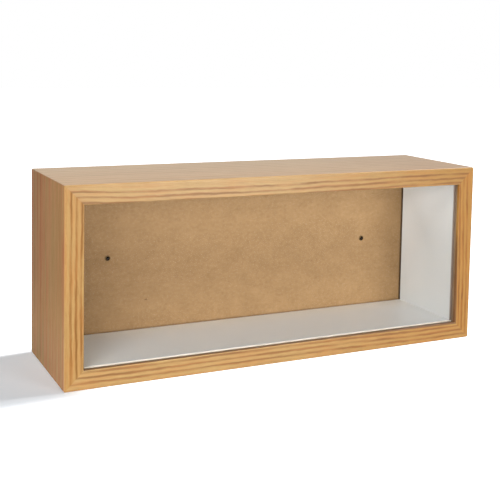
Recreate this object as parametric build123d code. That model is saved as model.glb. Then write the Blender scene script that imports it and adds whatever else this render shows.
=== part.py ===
from build123d import *
import math
import os

os.makedirs("parts", exist_ok=True)

# Wall display case: a mitred oak box with a white inner lining, a plain board back set in
# from the wall, and a glazed oak front frame that pulls off forwards.
# Millimetres. X runs left to right, Y front to back, Z up. The origin is the middle of
# the underside, so the front face lies at minus half the depth.

# Overall size
case_width = 600.0
case_height = 250.0
case_depth = 170.0

# Oak boards of the box
board_thickness = 18.0
corner_radius = 2.0
rear_edge_radius = 1.5

# White lining boards
lining_thickness = 6.0
lining_front_gap = 0.2
shadow_gap = 3.0
lining_edge_chamfer = 0.4

# Front frame. Its bars cover the board and the lining, and stand a little proud of both.
frame_thickness = 12.0
frame_overlap = 0.5
frame_outer_radius = 2.0
frame_inner_radius = 0.8
rebate_width = 6.0

# Pane and the beads that hold it in the rebate. The beads are set back from the opening's edge.
pane_thickness = 3.0
pane_edge_clearance = 0.5
bead_thickness = 4.5
bead_set_back = 2.6

# Back panel, held in a groove all round, and the hanging rail behind it
panel_thickness = 6.0
groove_depth = 6.0
groove_side_clearance = 0.1
groove_end_clearance = 0.5
rail_thickness = 21.0
rail_height = 60.0

# Wall screws: two on a level line through the back panel and the hanging rail
wall_screw_spacing = 405.0
wall_screw_height = 126.5
wall_screw_bore = 4.5

# Pressed steel cups that line the two holes
cup_wall = 0.6
cup_fit = 0.1
cup_rim_diameter = 8.0
cup_rim_height = 1.2
cup_rim_land = 0.5
cup_barrel_length = 5.5

# Tongues inside the mitres of the box
spline_length = 14.0
spline_thickness = 3.0
spline_corner_inset = 9.5
spline_front_inset = 12.0
spline_rear_inset = 35.0
spline_fit = 0.05

# Keys inside the mitres of the front frame
key_length = 14.0
key_width = 8.0
key_thickness = 2.0
key_corner_inset = 9.5
key_fit = 0.05

# Dowels that carry the hanging rail
dowel_diameter = 8.0
dowel_length = 30.0
dowel_depth_in_board = 10.0
dowel_spacing = 32.0
dowel_fit = 0.05
dowel_end_clearance = 1.0
dowel_chamfer = 0.8

# Magnets in the front frame, and the steel discs that they hold on to
magnet_diameter = 8.0
magnet_thickness = 3.0
keeper_thickness = 2.0
disc_fit = 0.1
magnet_spacing = 380.0

# Two brass pins that locate the front frame and carry its weight
pin_diameter = 4.0
pin_depth_in_board = 8.0
pin_projection = 5.0
pin_fit = 0.1
pin_end_clearance = 1.0
pin_tip_chamfer = 0.8
pin_spacing = 500.0

# Derived planes and widths
front_y = -case_depth / 2
rear_y = case_depth / 2
seam_y = front_y + frame_thickness
frame_bar = board_thickness + lining_thickness + frame_overlap
rebate_depth = pane_thickness + bead_thickness
panel_rear_y = rear_y - rail_thickness
panel_front_y = panel_rear_y - panel_thickness
lining_front_y = seam_y + lining_front_gap
lining_rear_y = panel_front_y - shadow_gap
board_line = board_thickness / 2
sides = ("top", "bottom", "left", "right")
corners = [(sx, sz) for sx in (-1, 1) for sz in (-1, 1)]


def block(x_from, x_to, y_from, y_to, z_from, z_to):
    """A box between two values on each axis."""
    middle = Pos((x_from + x_to) / 2, (y_from + y_to) / 2, (z_from + z_to) / 2)
    return middle * Box(x_to - x_from, y_to - y_from, z_to - z_from)


def inset_block(inset, y_from, y_to):
    """A box that stands in from the case's outline by the same amount on all four sides."""
    half = case_width / 2 - inset
    return block(-half, half, y_from, y_to, inset, case_height - inset)


def quarter(side):
    """A deep prism over one side of the case, cut off by the 45 degree mitres at its ends."""
    half = case_width / 2
    reach = min(case_width, case_height) / 2
    outlines = {
        "top": [(-half, case_height), (half, case_height),
                (half - reach, case_height - reach), (-half + reach, case_height - reach)],
        "bottom": [(-half, 0), (half, 0), (half - reach, reach), (-half + reach, reach)],
        "left": [(-half, 0), (-half, case_height),
                 (-half + reach, case_height - reach), (-half + reach, reach)],
        "right": [(half, 0), (half, case_height),
                  (half - reach, case_height - reach), (half - reach, reach)],
    }
    points = outlines[side]
    kept = [p for i, p in enumerate(points) if math.dist(p, points[i - 1]) > 1e-6]
    outline = make_face(Plane.XZ.offset(-rear_y) * Polyline(*kept, close=True))
    return extrude(outline, amount=case_depth, dir=(0, -1, 0))


def bore(diameter, x, z, y_from, y_to):
    """A round bar or hole that runs front to back."""
    turned = Pos(x, (y_from + y_to) / 2, z) * Rot(90, 0, 0)
    return turned * Cylinder(diameter / 2, y_to - y_from)


def corner_place(sx, sz, inset, y):
    """The place of a tongue across one corner's mitre, its length square to the mitre."""
    x = sx * (case_width / 2 - inset)
    z = case_height / 2 + sz * (case_height / 2 - inset)
    return Pos(x, y, z) * Rot(0, 45 * sx * sz, 0)


def save(shape, node):
    """Write one node's solid or group of solids."""
    export_step(shape, f"parts/{node}.step")


# Tongues in the four mitres of the box, stopped short of the front and of the back panel
spline_from = seam_y + spline_front_inset
spline_to = rear_y - spline_rear_inset
spline_middle = (spline_from + spline_to) / 2


def spline(fit):
    """One tongue, or with a fit the slot that takes it."""
    return Box(spline_length + 2 * fit, spline_to - spline_from + 2 * fit, spline_thickness + 2 * fit)


splines = [corner_place(sx, sz, spline_corner_inset, spline_middle) * spline(0) for sx, sz in corners]
spline_slots = [corner_place(sx, sz, spline_corner_inset, spline_middle) * spline(spline_fit)
                for sx, sz in corners]
save(Compound(children=splines), "corner_splines")

# Dowels at the ends of the hanging rail
rail_half = case_width / 2 - board_thickness
rail_middle_y = (panel_rear_y + rear_y) / 2
dowel_heights = [wall_screw_height - dowel_spacing / 2, wall_screw_height + dowel_spacing / 2]


def dowel(sx, z, fit, end_clearance):
    """One dowel along X, or with clearances the hole that takes it."""
    outer = rail_half + dowel_depth_in_board + end_clearance
    inner = rail_half + dowel_depth_in_board - dowel_length - end_clearance
    middle = Pos(sx * (outer + inner) / 2, rail_middle_y, z) * Rot(0, 90, 0)
    return middle * Cylinder(dowel_diameter / 2 + fit, outer - inner)


dowels = []
dowel_holes = []
for sx in (-1, 1):
    for z in dowel_heights:
        plain = dowel(sx, z, 0, 0)
        dowels.append(chamfer(plain.edges().filter_by(GeomType.CIRCLE), dowel_chamfer))
        dowel_holes.append(dowel(sx, z, dowel_fit, dowel_end_clearance))
save(Compound(children=dowels), "rail_dowels")

# Places of the magnets and of the locating pins, all on the middle line of the boards
top_line = case_height - board_line
bottom_line = board_line
side_line = case_width / 2 - board_line
magnet_places = [(sx * magnet_spacing / 2, z) for sx in (-1, 1) for z in (bottom_line, top_line)]
magnet_places += [(sx * side_line, case_height / 2) for sx in (-1, 1)]
pin_places = [(sx * pin_spacing / 2, bottom_line) for sx in (-1, 1)]

# Box: one mitred board on each side, cut from one rounded ring
ring = inset_block(0, seam_y, rear_y)
ring = fillet(ring.edges().filter_by(Axis.Y), corner_radius)
rear_face = ring.faces().sort_by(Axis.Y)[-1]
ring = fillet(rear_face.outer_wire().edges(), min(rear_edge_radius, corner_radius * 0.99))
ring -= inset_block(board_thickness, front_y, rear_y + 1)
ring -= inset_block(board_thickness - groove_depth,
                    panel_front_y - groove_side_clearance, panel_rear_y + groove_side_clearance)
keeper_pockets = [bore(magnet_diameter + 2 * disc_fit, x, z, seam_y, seam_y + keeper_thickness)
                  for x, z in magnet_places]
pin_sockets = [bore(pin_diameter, x, z, seam_y, seam_y + pin_depth_in_board) for x, z in pin_places]
ring -= keeper_pockets
ring -= pin_sockets
ring -= spline_slots
ring -= dowel_holes
board_names = {"top": "top_panel", "bottom": "bottom_panel", "left": "left_side", "right": "right_side"}
for side in sides:
    save(ring & quarter(side), board_names[side])

# Steel keeper discs in the front edges of the boards, and brass pins in the bottom one
keepers = [bore(magnet_diameter, x, z, seam_y, seam_y + keeper_thickness) for x, z in magnet_places]
save(Compound(children=keepers), "keeper_discs")
pins = []
for x, z in pin_places:
    pin = bore(pin_diameter, x, z, seam_y - pin_projection, seam_y + pin_depth_in_board)
    tip = pin.edges().filter_by(GeomType.CIRCLE).sort_by(Axis.Y)[0]
    pins.append(chamfer(tip, pin_tip_chamfer))
save(Compound(children=pins), "locating_pins")

# White lining: floor and ceiling run the full width, and the two ends stand between them
inner_half = case_width / 2 - board_thickness
floor_bottom = board_thickness
floor_top = board_thickness + lining_thickness
ceiling_bottom = case_height - floor_top
ceiling_top = case_height - floor_bottom
linings = {
    "lining_floor": (-inner_half, inner_half, floor_bottom, floor_top),
    "lining_ceiling": (-inner_half, inner_half, ceiling_bottom, ceiling_top),
    "lining_left": (-inner_half, lining_thickness - inner_half, floor_top, ceiling_bottom),
    "lining_right": (inner_half - lining_thickness, inner_half, floor_top, ceiling_bottom),
}
for node, (x_from, x_to, z_from, z_to) in linings.items():
    board = block(x_from, x_to, lining_front_y, lining_rear_y, z_from, z_to)
    front_face = board.faces().sort_by(Axis.Y)[0]
    axis = Axis.X if x_to - x_from > z_to - z_from else Axis.Z
    long_edges = front_face.edges().filter_by(axis)
    save(chamfer(long_edges, lining_edge_chamfer), node)

# Back panel with the two holes for the screw cups
cup_barrel = wall_screw_bore + 2 * cup_wall
screw_places = [(sx * wall_screw_spacing / 2, wall_screw_height) for sx in (-1, 1)]
panel = inset_block(board_thickness - groove_depth + groove_end_clearance, panel_front_y, panel_rear_y)
panel -= [bore(cup_barrel + 2 * cup_fit, x, z, panel_front_y, panel_rear_y) for x, z in screw_places]
save(panel, "back_panel")

# Hanging rail between the sides, flush with the rear edges of the boards
rail = block(-rail_half, rail_half, panel_rear_y, rear_y,
             wall_screw_height - rail_height / 2, wall_screw_height + rail_height / 2)
rail -= [bore(wall_screw_bore, x, z, panel_rear_y, rear_y) for x, z in screw_places]
rail -= dowel_holes
save(rail, "hanging_rail")

# Screw cups: a domed rim on the panel and a short barrel in its hole
with BuildPart() as cup:
    with BuildSketch(Plane.XY):
        with BuildLine():
            inner = wall_screw_bore / 2
            barrel = cup_barrel / 2
            rim = cup_rim_diameter / 2
            land = inner + cup_rim_land
            Line((inner, -cup_barrel_length), (barrel, -cup_barrel_length))
            Line((barrel, -cup_barrel_length), (barrel, 0))
            Line((barrel, 0), (rim, 0))
            TangentArc((rim, 0), (land, cup_rim_height), tangent=(0, 1))
            Line((land, cup_rim_height), (inner, cup_rim_height - cup_rim_land))
            Line((inner, cup_rim_height - cup_rim_land), (inner, -cup_barrel_length))
        make_face()
    revolve(axis=Axis.Y)
cups = [Pos(x, panel_front_y, z) * Rot(180, 0, 0) * cup.part for x, z in screw_places]
save(Compound(children=cups), "screw_cups")

# Front frame: four mitred bars, cut from one rounded ring with a rebate behind the opening
frame = inset_block(0, front_y, seam_y)
frame = fillet(frame.edges().filter_by(Axis.Y), corner_radius)
front_face = frame.faces().sort_by(Axis.Y)[0]
frame = fillet(front_face.outer_wire().edges(), min(frame_outer_radius, corner_radius * 0.99))
frame -= inset_block(frame_bar, front_y, seam_y)
front_face = frame.faces().sort_by(Axis.Y)[0]
frame = fillet(front_face.inner_wires()[0].edges(), frame_inner_radius)
frame -= inset_block(frame_bar - rebate_width, seam_y - rebate_depth, seam_y)


def key(fit):
    """One key, or with a fit the slot that takes it."""
    return Box(key_length + 2 * fit, key_thickness + 2 * fit, key_width + 2 * fit)


key_y = (front_y + seam_y) / 2
keys = [corner_place(sx, sz, key_corner_inset, key_y) * key(0) for sx, sz in corners]
frame -= [corner_place(sx, sz, key_corner_inset, key_y) * key(key_fit) for sx, sz in corners]
frame -= [bore(magnet_diameter + 2 * disc_fit, x, z, seam_y - magnet_thickness, seam_y)
          for x, z in magnet_places]
frame -= [bore(pin_diameter + 2 * pin_fit, x, z, seam_y - pin_projection - pin_end_clearance, seam_y)
          for x, z in pin_places]
bar_names = {"top": "front_rail_top", "bottom": "front_rail_bottom",
             "left": "front_stile_left", "right": "front_stile_right"}
for side in sides:
    save(frame & quarter(side), bar_names[side])
save(Compound(children=keys), "frame_keys")
magnets = [bore(magnet_diameter, x, z, seam_y - magnet_thickness, seam_y) for x, z in magnet_places]
save(Compound(children=magnets), "frame_magnets")

# Pane, behind the lip of the frame
pane_front_y = seam_y - rebate_depth
save(inset_block(frame_bar - rebate_width + pane_edge_clearance, pane_front_y, pane_front_y + pane_thickness),
     "glazing_pane")

# Beads: four mitred strips behind the pane, flush with the frame's rear face
beads = inset_block(frame_bar - rebate_width, seam_y - bead_thickness, seam_y)
beads -= inset_block(frame_bar - bead_set_back, seam_y - bead_thickness, seam_y)
for side in sides:
    save(beads & quarter(side), f"glazing_bead_{side}")
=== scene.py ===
import math

import bpy
from mathutils import Euler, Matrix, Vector


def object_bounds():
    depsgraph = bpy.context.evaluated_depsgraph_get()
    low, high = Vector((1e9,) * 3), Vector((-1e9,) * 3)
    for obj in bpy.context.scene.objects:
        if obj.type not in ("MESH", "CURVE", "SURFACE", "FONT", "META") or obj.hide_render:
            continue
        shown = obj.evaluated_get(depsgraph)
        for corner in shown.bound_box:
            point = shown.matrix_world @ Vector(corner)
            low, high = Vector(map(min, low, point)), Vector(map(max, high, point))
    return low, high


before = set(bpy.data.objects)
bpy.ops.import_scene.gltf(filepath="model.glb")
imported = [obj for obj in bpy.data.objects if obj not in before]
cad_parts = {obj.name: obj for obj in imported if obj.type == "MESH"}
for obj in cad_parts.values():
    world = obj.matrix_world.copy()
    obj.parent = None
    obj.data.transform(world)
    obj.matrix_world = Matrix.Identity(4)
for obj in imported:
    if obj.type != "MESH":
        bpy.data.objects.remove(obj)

cad_low, cad_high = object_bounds()


# Box boards
# Four oak-faced boards, mitred at the corners over hidden tongues and glued. The grain runs
# round the box: lengthwise on the top and bottom, upright on the two sides.

class Wire:
    """A shader socket. Arithmetic on it adds the Math nodes that work the sum out."""

    def __init__(self, finish, socket):
        self.finish = finish
        self.socket = socket

    def maths(self, operation, *others):
        """One Math node on this socket and the others."""
        return self.finish.add("ShaderNodeMath", {"operation": operation}, dict(enumerate((self, *others))))

    def __add__(self, other):
        return self.maths("ADD", other)

    def __sub__(self, other):
        return self.maths("SUBTRACT", other)

    def __rsub__(self, other):
        return (self * -1.0).maths("ADD", other)

    def __mul__(self, other):
        return self.maths("MULTIPLY", other)

    def __truediv__(self, other):
        return self.maths("DIVIDE", other)

    def __abs__(self):
        return self.maths("ABSOLUTE")

    __radd__ = __add__
    __rmul__ = __mul__

    def larger(self, other):
        """The larger of this socket and the other."""
        return self.maths("MAXIMUM", other)

    def rise(self, low, high):
        """0 below low, 1 above high, and smooth between them."""
        return self.finish.add("ShaderNodeMapRange", {"interpolation_type": "SMOOTHSTEP"},
                               {"Value": self, "From Min": low, "From Max": high})

    def part(self, name):
        """Another output of the node that this socket belongs to."""
        return Wire(self.finish, self.socket.node.outputs[name])


class Finish:
    """The nodes of one material, or of the world."""

    def __init__(self, name, world=False):
        self.owner = bpy.data.worlds.new(name) if world else bpy.data.materials.new(name)
        self.owner.use_nodes = True
        self.tree = self.owner.node_tree
        self.tree.nodes.clear()

    def add(self, kind, settings, sockets, output=0):
        """A node of any kind: its settings are set first, then its sockets get values or links."""
        node = self.tree.nodes.new(kind)
        for key, value in settings.items():
            setattr(node, key, value)
        for key, value in sockets.items():
            if isinstance(value, Wire):
                self.tree.links.new(value.socket, node.inputs[key])
            else:
                node.inputs[key].default_value = value
        return Wire(self, node.outputs[output]) if len(node.outputs) else None

    def place(self):
        """The point's x, y and z in millimetres, which stay with the piece when it moves."""
        spot = self.add("ShaderNodeTexCoord", {}, {}, "Object")
        split = self.add("ShaderNodeSeparateXYZ", {}, {0: spot})
        return split.part("X") * 1000, split.part("Y") * 1000, split.part("Z") * 1000

    def noise(self, x, y, z, detail=2.0, roughness=0.5):
        """Smooth noise about 0.5, one wave to a unit of x, y and z."""
        spot = self.add("ShaderNodeCombineXYZ", {}, {0: x, 1: y, 2: z})
        return self.add("ShaderNodeTexNoise", {}, {
            "Vector": spot, "Scale": 1.0, "Detail": detail, "Roughness": roughness})

    def blend(self, amount, first, second):
        """A colour between first and second."""
        return self.add("ShaderNodeMix", {"data_type": "RGBA"}, {0: amount, 6: first, 7: second}, 2)

    def tint(self, amount, first, by):
        """first, with its red, green and blue multiplied by the three of by, in full at an amount of 1."""
        return self.add("ShaderNodeMix", {"data_type": "RGBA", "blend_type": "MULTIPLY"},
                        {0: amount, 6: first, 7: (*by, 1.0)}, 2)

    def arris(self):
        """1 on the rounded edges between flat faces, 0 on the faces."""
        normal = self.add("ShaderNodeNewGeometry", {}, {}, "Normal")
        split = self.add("ShaderNodeSeparateXYZ", {}, {0: normal})
        widest = abs(split.part("X")).larger(abs(split.part("Y"))).larger(abs(split.part("Z")))
        return 1 - widest.rise(0.90, 0.995)

    def bump(self, height, distance, strength):
        """The normal over a height from 0 to 1, where 1 stands up by the distance in millimetres."""
        return self.add("ShaderNodeBump", {}, {
            "Height": height, "Distance": distance / 1000, "Strength": strength})

    def show(self, shader, output="ShaderNodeOutputMaterial"):
        """Ends the nodes with this shader, and gives the material or the world that has them."""
        self.add(output, {}, {"Surface": shader})
        return self.owner

    def surface(self, sockets):
        """The finished material, a Principled shader with these sockets."""
        return self.show(self.add("ShaderNodeBsdfPrincipled", {}, sockets))


def paint(red, green, blue):
    """A colour given as 0 to 255 on screen, as the shader's own light values."""
    levels = [level / 255 for level in (red, green, blue)]
    light = [level / 12.92 if level <= 0.04045 else ((level + 0.055) / 1.055) ** 2.4 for level in levels]
    return (*light, 1.0)


def dress(node, material):
    """A CAD node takes one material."""
    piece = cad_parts[node]
    piece.data.materials.clear()
    piece.data.materials.append(material)
    for face in piece.data.polygons:
        face.material_index = 0


def oak(name, along, across, through, woods, pitch, first, lines, gloss=0.42, rough=0.32):
    """Oak, or another wood. along, across and through give the board's own directions from x, y, z.

    woods holds its light, dark and ruddy tones. Growth rings cross the face every pitch
    millimetres from the first one, and fade out before it. lines says how dark they get.
    gloss is how much the surface reflects, and rough how rough it is. Gives the finish, the
    sockets of its shader, and the point's place along and across the board.
    """
    light, dark, ruddy = woods
    finish = Finish(name)
    x, y, z = finish.place()
    run = along(x, y, z)
    face = across(x, y, z)
    depth = through(x, y, z)
    # Rings: a soft wave that wanders along the board, each ring with a strength of its own
    slow_wander = (finish.noise(run / 150, face / 70, 2.0, detail=1.0) - 0.5) * 5.0
    quick_wander = (finish.noise(run / 18, face / 6, 5.0) - 0.5) * 2.0
    turn = (face + depth * 0.35 + slow_wander + quick_wander - first) / pitch
    wave = ((turn * (2 * math.pi)).maths("COSINE") * 0.5 + 0.5).maths("POWER", 1.6)
    ring = (turn + 0.5).maths("FLOOR")
    each = finish.noise(ring * 2.3, run / 70, 8.0).rise(0.30, 0.68)
    begun = turn.rise(-0.85, -0.35)
    rings = wave * (each * 0.85 + 0.38) * (begun * 0.85 + 0.15) * lines
    # Fibre and open pores, long and thin, the pores thickest along the rings
    fibre = finish.noise(run / 20, face / 0.8, depth / 0.8, detail=3.0, roughness=0.6) - 0.5
    streaks = finish.noise(run / 75, face / 2.4, depth / 2.4 + 4.0) - 0.5
    flames = finish.noise(run / 13, face / 1.9, depth / 1.9 + 7.0) - 0.5
    patches = finish.noise(run / 110, face / 26, depth / 26 + 3.0) - 0.5
    specks = finish.noise(run / 5, face / 0.30, depth / 0.30 + 5.0, detail=1.0)
    pores = specks.rise(0.58, 0.68) * (wave * 0.7 + 0.3)
    shade = rings + fibre * 0.60 + streaks * 0.55 + flames * 0.50 + pores * 0.25 + patches * 0.30 + 0.16
    wood = finish.blend(shade.larger(0.0).maths("MINIMUM", 1.0), light, dark)
    warm = finish.noise(run / 55, face / 3.4, depth / 3.4 + 9.0, detail=3.0).rise(0.42, 0.68)
    wood = finish.blend(warm * 0.38, wood, ruddy)
    worn = finish.arris()
    shader = {
        "Base Color": finish.blend(worn * 0.22, wood, light),
        "Roughness": rough + fibre * 0.14 + rings * 0.08 - worn * 0.06,
        "Normal": finish.bump(fibre * 0.5 - pores * 0.6 - rings * 0.3 + 0.5, 0.06, 0.35),
        "Specular IOR Level": gloss,
    }
    return finish, shader, run, face


half_width = cad_high.x * 1000
case_height = cad_high.z * 1000
front_plane = cad_low.y * 1000


def from_front(x, y, z):
    """How far a point lies behind the front of the case, in millimetres."""
    return y - front_plane


board_woods = (paint(194, 149, 97), paint(148, 104, 61), paint(182, 124, 76))
# The top's tones are paler, which is painted sheen
top_woods = (paint(195, 162, 117), paint(150, 117, 78), paint(185, 140, 94))
side_woods = (paint(196, 153, 105), paint(150, 107, 66), paint(183, 128, 83))
# The lengths added along the grain make each board's differ from the others'
board_grain = {
    "top_panel": dict(along=lambda x, y, z: x, through=lambda x, y, z: z, woods=top_woods,
                      pitch=17.0, first=9.0, lines=0.30, gloss=0.70, rough=0.42),
    "bottom_panel": dict(along=lambda x, y, z: x + 500.0, through=lambda x, y, z: z, woods=board_woods,
                         pitch=15.0, first=6.0, lines=0.35, gloss=0.25, rough=0.50),
    "left_side": dict(along=lambda x, y, z: z + 900.0, through=lambda x, y, z: x, woods=side_woods,
                      pitch=16.0, first=14.0, lines=0.34, gloss=0.04, rough=0.62),
    "right_side": dict(along=lambda x, y, z: z + 1300.0, through=lambda x, y, z: x, woods=side_woods,
                       pitch=14.0, first=10.0, lines=0.35, gloss=0.04, rough=0.62),
}
board_finish = {}
for board, grain in board_grain.items():
    finish, shader, run, face = oak("oak_" + board, across=from_front, **grain)
    x, y, z = finish.place()
    if grain["woods"] is side_woods:
        streak = finish.noise(run / 240, face / 10, 3.0)
        tints = (
            # Reddish and olive streaks
            (streak.rise(0.50, 0.60), (1.02, 0.87, 0.88)),
            ((1 - streak).rise(0.50, 0.62), (0.90, 0.98, 0.92)),
            # Painted shade: deeper towards the top and the rear, so that the bottom front looks lit by the
            # floor
            (z.rise(20.0, 150.0) * 0.6 + y.rise(-60.0, 60.0) * 0.4, (0.74, 0.70, 0.72)),
            # Greyer low down, painted light from the pale floor, and greyer along the rear edge
            ((1 - z.rise(5.0, 90.0)).larger(y.rise(30.0, 80.0)), (0.98, 1.05, 1.20)),
            # Warmer up the front edge, with a painted highlight on the frame's own edge near its top
            ((1 - y.rise(-90.0, -20.0)) * z.rise(60.0, 130.0), (1.0, 0.90, 0.84)),
            ((1 - y.rise(-79.0, -71.0)) * z.rise(165.0, 215.0), (1.06, 1.32, 1.28)),
        )
    else:
        tints = (
            # Deeper towards the right end, and warmer towards the front: a painted sheen, paler to the rear
            (x.rise(60.0, 300.0), (0.86, 0.80, 0.72)),
            (1 - y.rise(-85.0, 70.0), (1.03, 0.96, 0.86)),
        )
    for amount, by in tints:
        shader["Base Color"] = finish.tint(amount, shader["Base Color"], by)
    board_finish[board] = finish.surface(shader)
    dress(board, board_finish[board])


# Front frame
# Four flat oak bars, mitred and keyed at the corners, with a rebate behind for the pane. The
# grain follows each bar, so its lines meet at the mitres and run round the opening.

frame_woods = (paint(183, 146, 89), paint(134, 89, 39), paint(180, 120, 62))
edge_brown = paint(112, 76, 46)
fleck_brown = paint(104, 64, 28)
bar_width = 24.5
bar_rings = dict(pitch=6.35, first=8.2)


def bow(x):
    """How far the top bar's lines bend away from its edge along the bar, in millimetres."""
    return (x.rise(-290.0, -200.0) - x.rise(0.0, 280.0)) * 3.8


# Lengths are counted on from bar to bar, from the top right mitre round to it again, so that
# the lines of one bar meet the next one's at the other three mitres
bar_grain = {
    "front_stile_left": dict(
        along=lambda x, y, z: z,
        across=lambda x, y, z: x + half_width,
        lines=0.76, gloss=0.22),
    "front_rail_bottom": dict(
        along=lambda x, y, z: x + half_width,
        across=lambda x, y, z: z + x.rise(0.0, 300.0) * 2.0,
        lines=0.90, gloss=0.57),
    "front_stile_right": dict(
        along=lambda x, y, z: 2 * half_width - z,
        across=lambda x, y, z: half_width - x - (z - case_height / 2) * 0.02,
        lines=0.70, gloss=0.35),
    "front_rail_top": dict(
        along=lambda x, y, z: case_height - half_width - x,
        across=lambda x, y, z: case_height - z - bow(x),
        lines=0.85, gloss=0.50),
}
# The board behind each bar, the way the bar's outer edge faces, and its own tone
bar_place = {
    "front_stile_left": ("left_side", Vector((-1, 0, 0)), (0.97, 0.96, 0.96)),
    "front_rail_bottom": ("bottom_panel", Vector((0, 0, -1)), (1.02, 1.05, 1.04)),
    "front_stile_right": ("right_side", Vector((1, 0, 0)), (1.02, 1.0, 1.0)),
    "front_rail_top": ("top_panel", Vector((0, 0, 1)), (0.93, 0.95, 0.92)),
}
for bar, grain in bar_grain.items():
    board, outward, own_tone = bar_place[bar]
    finish, shader, _, face = oak("oak_" + bar, through=from_front, woods=frame_woods, **bar_rings, **grain)
    x, y, z = finish.place()
    # Oranger towards the right end, with one short dark fleck low on the right bar
    wood = finish.tint(1.0, shader["Base Color"], own_tone)
    wood = finish.tint(x.rise(-40.0, 290.0), wood, (0.93, 0.81, 0.55))
    fleck_across = 1 - abs(x - 286.5).rise(0.4, 1.2)
    fleck_along = 1 - abs(z - 62.0).rise(2.5, 6.5)
    wood = finish.blend(fleck_across * fleck_along * 0.7, wood, fleck_brown)
    # The edge round the opening has darkened
    inner_edge = face.rise(bar_width - 0.8, bar_width - 0.2)
    shader["Base Color"] = finish.blend(inner_edge * 0.85, wood, edge_brown)
    dress(bar, finish.surface(shader))
    # The bar's outer edge is planed flush with the board behind it, and looks one with it
    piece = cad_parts[bar]
    piece.data.materials.append(board_finish[board])
    for polygon in piece.data.polygons:
        if polygon.normal.dot(outward) > 0.7:
            polygon.material_index = 1


# Glazing beads
# Four thin mitred oak strips glued in the rebate behind the pane, flush with the back of
# the frame, and stained dark like the edge of the opening.

bead_woods = (paint(158, 134, 108), paint(124, 98, 74), paint(136, 104, 76))
for bar, grain in bar_grain.items():
    bead = "glazing_bead_" + bar.rsplit("_", 1)[1]
    finish, shader, *_ = oak("oak_" + bead, grain["along"], grain["across"], from_front,
                             bead_woods, lines=0.5, **bar_rings)
    dress(bead, finish.surface(shader))


# Pane
# A clear sheet with little reflection, held in the rebate by the beads.

white = (1.0, 1.0, 1.0, 1.0)
glass_tint = (0.993, 0.997, 0.994, 1.0)


def clear_pane():
    finish = Finish("clear_pane")
    x, y, z = finish.place()
    smears = finish.noise(x / 70, y / 70, z / 45, detail=3.0)
    # It reflects hardly at all from straight in front, and more along the sheet
    grazing = finish.add("ShaderNodeLayerWeight", {}, {"Blend": 0.5}, "Facing")
    gloss = grazing.maths("POWER", 5.0) * 0.6 + 0.0012
    through = finish.add("ShaderNodeBsdfTransparent", {}, {"Color": glass_tint})
    mirror = finish.add("ShaderNodeBsdfGlossy", {}, {"Color": white, "Roughness": smears * 0.02 + 0.01})
    return finish.show(finish.add("ShaderNodeMixShader", {}, {0: gloss, 1: through, 2: mirror}))


dress("glazing_pane", clear_pane())


# Lining
# Four thin boards with a satin white facing, glued inside the oak. Their front edges are
# eased, the floor's the most, and a narrow gap parts them from the back panel.

wall_thickness = 24.0
inside_half_width = half_width - wall_thickness
inside_half_height = case_height / 2 - wall_thickness
lining_front = front_plane + 12.2
# The first two whites are painted light, where the lining is paler deep inside
lit_level_white = paint(241, 240, 236)
lit_upright_white = paint(246, 248, 250)
# The cream is a painted highlight on the floor's eased edge, and the brown is painted shade on the front
# edges
highlight_cream = paint(255, 245, 226)
shade_brown = paint(116, 88, 66)
scuff_grey = paint(196, 192, 186)


def white_facing(name, level, eased, shaded_white):
    """The white of a level or an upright board, with painted light: paler deep inside than towards the
    front.

    eased is how far its front edge is rounded over, in millimetres.
    """
    finish = Finish(name)
    x, y, z = finish.place()
    skin = finish.noise(x / 1.6, y / 1.6, z / 1.6)
    waves = finish.noise(x / 60, y / 60, z / 60)
    scuffs = finish.noise(x / (9 if level else 2), y / 3, z / (2 if level else 9), detail=3.0)
    scuffs = scuffs.rise(0.68, 0.80)
    if level:
        # Painted light at the left end too
        painted_light = y.rise(0.0, 75.0).larger(1 - x.rise(-274.0, -215.0))
        tone = finish.blend(painted_light, shaded_white, lit_level_white)
    else:
        # Painted light towards the top too
        high = z.rise(110.0, 210.0) * (y.rise(-60.0, 0.0) * 0.4 + 0.5)
        painted_light = (y.rise(-30.0, 60.0) * z.rise(0.0, 150.0)).larger(high)
        tone = finish.blend(painted_light, shaded_white, lit_upright_white)
    tone = finish.tint(waves.rise(0.35, 0.65) * 0.3, tone, (0.95, 0.95, 0.95))
    tone = finish.blend(scuffs * 0.10, tone, scuff_grey)
    if level:
        # The eased edge is a brighter cream, a painted highlight, and the rest of the front edge is painted
        # shade
        highlight_edge = finish.arris().larger(1 - y.rise(lining_front, lining_front + eased))
        tone = finish.blend(highlight_edge * 0.9, tone, highlight_cream)
        outer = abs(z - case_height / 2).rise(inside_half_height + 1.1, inside_half_height + 1.9)
        painted_shade = outer * (1 - y.rise(lining_front + 0.1, lining_front + 0.5)) * 0.75
    else:
        # Painted shade over the front edge
        painted_shade = (1 - y.rise(lining_front + 0.4, lining_front + 3.4)) * 0.85
    round_over = y.rise(lining_front - eased, lining_front + eased)
    return finish.surface({
        "Base Color": finish.blend(painted_shade, tone, shade_brown),
        "Roughness": 0.34 + waves * 0.06 + scuffs * 0.08,
        "Normal": finish.bump(skin * 0.005 + round_over * eased, 1.0, 1.0),
    })


for lining, level, eased, shaded_white in (
    ("lining_floor", True, 3.2, paint(226, 229, 231)),
    ("lining_ceiling", True, 0.4, paint(228, 232, 234)),
    ("lining_left", False, 0.4, paint(217, 220, 221)),
    ("lining_right", False, 0.4, paint(217, 220, 221)),
):
    dress(lining, white_facing("white_" + lining, level, eased, shaded_white))


# Back panel
# Bare brown fibreboard in a groove all round: pressed smooth, cloudy in tone, and flecked
# with single fibres.

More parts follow.
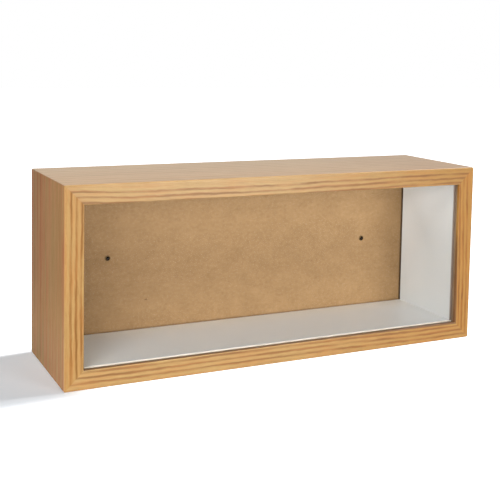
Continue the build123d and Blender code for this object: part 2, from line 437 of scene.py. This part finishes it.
def fibreboard():
    pale = paint(188, 151, 107)
    brown = paint(147, 112, 70)
    pale_fibre = paint(210, 174, 130)
    dark_fibre = paint(112, 80, 50)
    bark_brown = paint(84, 56, 32)
    # Painted shade for the edges under the lining
    gap_shade_brown = paint(58, 40, 26)
    finish = Finish("brown_fibreboard")
    x, y, z = finish.place()
    clouds = finish.noise(x / 32, y, z / 22, detail=3.0, roughness=0.6)
    mottle = finish.noise(x / 5.5, y, z / 4.4, detail=3.0, roughness=0.58)
    tone = finish.blend((clouds * 0.40 + mottle * 0.44 + 0.08).rise(0.10, 0.90), pale, brown)
    # Painted shade: a little deeper in tone towards the left and half way up
    band = 1 - abs(z - 105.0).rise(10.0, 60.0)
    tone = finish.tint((1 - x.rise(-200.0, 240.0)) * 0.5 + band * 0.40, tone, (0.84, 0.82, 0.80))
    tone = finish.tint(1 - x.rise(-280.0, -120.0), tone, (0.92, 0.88, 0.80))
    # Single bent fibres that lie flat or upright, and dark specks
    bend = (finish.noise(x / 6, y + 4.0, z / 6, detail=1.0) - 0.5) * 6.0
    flat_fibres = finish.noise((x + bend) / 3.2, y, z / 0.5).rise(0.60, 0.74)
    cross_fibres = finish.noise(x / 0.5, y + 7.0, (z + bend) / 3.2).rise(0.62, 0.76)
    specks = finish.noise(x / 2.2, y + 2.0, z / 1.8, detail=1.0).rise(0.66, 0.74)
    tone = finish.blend(flat_fibres * 0.14, tone, pale_fibre)
    tone = finish.blend((cross_fibres * 0.26).larger(specks * 0.44), tone, dark_fibre)
    # One flake of bark low on the left
    flake = (abs(x + 147.0) / 1.7).larger(abs(z - 64.0) / 0.7)
    tone = finish.blend((1 - flake.rise(0.7, 1.3)) * 0.6, tone, bark_brown)
    # Painted shade: the edges under the lining, seen through the gap, are dark
    rim_x = abs(x).rise(inside_half_width - 2.2, inside_half_width - 0.4)
    rim_z = abs(z - case_height / 2).rise(inside_half_height - 2.2, inside_half_height - 0.4)
    return finish.surface({
        "Base Color": finish.blend((rim_x * 0.85).larger(rim_z * 0.25), tone, gap_shade_brown),
        "Roughness": 0.56 + mottle * 0.12,
        "Normal": finish.bump(mottle * 0.6 + flat_fibres * 0.3, 0.05, 0.3),
        "Specular IOR Level": 0.35,
    })


dress("back_panel", fibreboard())


# Screw cups
# Two small pressed cups of dark burnished steel, set in the back panel for the wall screws.

screw_x = 202.5
screw_z = 126.5
# Painted shade for the screw holes
hole_shade_black = paint(24, 16, 10)


def from_screw(x, z):
    """The distance from the nearer screw's middle line, in millimetres."""
    across = abs(x) - screw_x
    up = z - screw_z
    return (across * across + up * up).maths("SQRT")


def burnished_steel():
    finish = Finish("burnished_steel")
    x, y, z = finish.place()
    stain = finish.noise(x / 1.5, y / 1.5, z / 1.5, detail=3.0)
    tone = finish.blend(stain.rise(0.35, 0.70), paint(84, 64, 42), paint(110, 86, 58))
    tone = finish.blend(finish.arris() * 0.4, tone, paint(150, 126, 94))
    # The bore is painted black inside: painted shade in the hole
    inside = 1 - from_screw(x, z).rise(2.3, 2.9)
    return finish.surface({
        "Base Color": finish.blend(inside, tone, hole_shade_black),
        "Metallic": 1 - inside,
        "Roughness": 0.34 + stain * 0.16 + inside * 0.4,
        "Specular IOR Level": 0.2,
        "Normal": finish.bump(stain, 0.01, 0.4),
    })


dress("screw_cups", burnished_steel())


# Hanging rail
# A planed softwood bar behind the back panel, doweled into the two sides. It carries the
# case on its wall screws.

rail_woods = (paint(226, 190, 138), paint(178, 126, 72), paint(212, 164, 106))
finish, shader, *_ = oak(
    "softwood_rail", lambda x, y, z: x, lambda x, y, z: z, lambda x, y, z: y,
    rail_woods, pitch=6.5, first=2.0, lines=0.75)
x, y, z = finish.place()
# The screw holes are painted dark: painted shade in the holes
bore_shade = 1 - from_screw(x, z).rise(2.4, 3.0)
shader["Base Color"] = finish.blend(bore_shade, shader["Base Color"], hole_shade_black)
shader["Roughness"] = shader["Roughness"].larger(bore_shade)
shader["Specular IOR Level"] = 0.15
dress("hanging_rail", finish.surface(shader))


# Hidden joinery
# Beech tongues in the box's mitres, keys in the frame's mitres and dowels in the rail.

beech_woods = (paint(216, 176, 132), paint(176, 130, 88), paint(208, 156, 112))
for node, along, across in (
    ("corner_splines", lambda x, y, z: y, lambda x, y, z: x),
    ("frame_keys", lambda x, y, z: x, lambda x, y, z: z),
    ("rail_dowels", lambda x, y, z: x, lambda x, y, z: z),
):
    finish, shader, *_ = oak("beech_" + node, along, across, lambda x, y, z: z * 0.5,
                             beech_woods, pitch=2.6, first=1.0, lines=0.45)
    dress(node, finish.surface(shader))


# Magnets, keepers and pins
# Nickel-plated magnets in the frame hold on to steel discs in the box, and turned brass
# pins line the two up.

def turned_metal(name, bright, dull, rough):
    finish = Finish(name)
    x, y, z = finish.place()
    grain = finish.noise(x / 0.8, y / 0.05, z / 0.8)
    stain = finish.noise(x / 3, y / 3, z / 3)
    return finish.surface({
        "Base Color": finish.blend(stain.rise(0.3, 0.7), bright, dull),
        "Metallic": 1.0,
        "Roughness": rough + grain * 0.12,
        "Normal": finish.bump(grain, 0.01, 0.3),
    })


dress("frame_magnets", turned_metal("nickel", paint(206, 204, 198), paint(186, 184, 178), 0.18))
dress("keeper_discs", turned_metal("zinc", paint(186, 188, 190), paint(160, 162, 166), 0.30))
dress("locating_pins", turned_metal("brass", paint(214, 176, 98), paint(186, 146, 78), 0.22))


# Floor
# A plain pale floor that keeps the case's shadow. Seen by the camera it is lifted to white,
# and wholly so away from the case.

def pale_floor():
    near_grey = (0.80, 0.80, 0.80, 1.0)
    far_grey = (0.40, 0.40, 0.40, 1.0)
    seen_white = (0.89, 0.945, 1.0, 1.0)
    finish = Finish("pale_floor")
    x, y, z = finish.place()
    seen = finish.add("ShaderNodeLightPath", {}, {}, "Is Camera Ray")
    mirrored = seen.part("Is Glossy Ray").larger(seen.part("Is Transmission Ray"))
    far = (x * x + y * y).maths("SQRT").rise(600.0, 1100.0)
    # In front of the shadow, behind it and to its right the floor is plain white
    before = (-90.0 - y - (x + half_width) * -0.06).rise(0.0, 40.0)
    behind = (y - 84.0 - (x + half_width) * 0.17).rise(-4.0, 24.0)
    right = x.rise(-300.0, -230.0)
    clear = far.larger(right).larger(before).larger(behind)
    # It lights the case as a grey floor does, and less from far off
    table = finish.blend(far, near_grey, far_grey)
    # The camera sees it as a slightly blue white, and metal and glass mirror it as white
    shown = finish.blend(seen, white, seen_white)
    matt = finish.add("ShaderNodeBsdfDiffuse", {}, {
        "Color": finish.blend(seen.larger(mirrored), table, shown)})
    lift = finish.add("ShaderNodeEmission", {}, {
        "Color": seen * (clear * 0.8 + y.rise(-100.0, 100.0) * 0.07 + 0.065),
        "Strength": 1.0})
    return finish.show(finish.add("ShaderNodeAddShader", {}, {0: matt, 1: lift}))


floor_reach = 8.0
sides = ((-1, -1), (1, -1), (1, 1), (-1, 1))
floor_mesh = bpy.data.meshes.new("floor")
floor_mesh.from_pydata([(x * floor_reach, y * floor_reach, 0.0) for x, y in sides], [], [(0, 1, 2, 3)])
floor_mesh.materials.append(pale_floor())
floor = bpy.data.objects.new("floor", floor_mesh)
bpy.context.scene.collection.objects.link(floor)


# Light
# Soft studio light: a wide lamp on the left, one high above it, a smaller one a little to the
# right, one beyond the right side that draws the shadow on the floor, and a pale surround.

surround_level = 0.12


def studio_surround():
    """White where it is seen, mirrored or seen through the pane, and dim as a light."""
    surround = Finish("studio", world=True)
    path = surround.add("ShaderNodeLightPath", {}, {}, "Is Camera Ray")
    seen = path.larger(path.part("Is Glossy Ray")).larger(path.part("Is Transmission Ray"))
    sky = surround.add("ShaderNodeBackground", {}, {
        "Color": white, "Strength": seen * (1 - surround_level) + surround_level})
    return surround.show(sky, "ShaderNodeOutputWorld")


bpy.context.scene.world = studio_surround()


def lamp(name, kind, heading, height, distance, level):
    """A lamp aimed at the case from a heading, 0 in front and 90 on the right, in degrees.

    height is how far above the level it stands, in degrees. At a level of 1 a surface that
    faces the lamp shows its own colour.
    """
    light = bpy.data.lights.new(name, kind)
    holder = bpy.data.objects.new(name, light)
    bpy.context.scene.collection.objects.link(holder)
    turn = math.radians(heading)
    rise = math.radians(height)
    away = Vector((math.sin(turn) * math.cos(rise), -math.cos(turn) * math.cos(rise), math.sin(rise)))
    holder.location = (cad_low + cad_high) / 2 + away * distance
    holder.rotation_euler = away.to_track_quat("Z", "Y").to_euler()
    light.energy = level * math.pi
    if kind == "AREA":
        light.energy *= math.pi * distance ** 2
        light.shape = "RECTANGLE"
    return light


for name, heading, height, distance, level, wide, tall in (
    ("left_lamp", -40.0, 9.0, 2.6, 0.60, 1.8, 0.9),
    ("high_lamp", -40.0, 45.0, 4.0, 0.28, 1.4, 1.4),
    ("right_lamp", 20.0, 7.0, 2.6, 0.47, 0.9, 0.6),
):
    panel = lamp(name, "AREA", heading, height, distance, level)
    panel.size = wide
    panel.size_y = tall

side_lamp = lamp("side_lamp", "SUN", heading=92.0, height=45.0, distance=3.0, level=0.56)
side_lamp.angle = math.radians(12.0)


# Camera
# The photograph's view: from the front left, a little above the case, with the picture's
# middle set below the lens's own middle.

picture_size = 500
focal_pixels = 960.48
centre_row = 126.51
sensor_width = 36.0
# Metres, and degrees about x, y and z
camera_place = (-0.5890, -1.1859, 0.4124)
camera_turn = (85.4509, -1.0559, -25.5865)
camera = bpy.data.cameras.new("camera")
camera.sensor_width = sensor_width
camera.lens = focal_pixels / picture_size * sensor_width
camera.shift_y = (centre_row - picture_size / 2) / picture_size
camera_holder = bpy.data.objects.new("camera", camera)
camera_holder.location = camera_place
camera_holder.rotation_euler = Euler([math.radians(angle) for angle in camera_turn], "XYZ")
bpy.context.scene.collection.objects.link(camera_holder)
bpy.context.scene.camera = camera_holder
bpy.context.scene.view_settings.view_transform = "Standard"
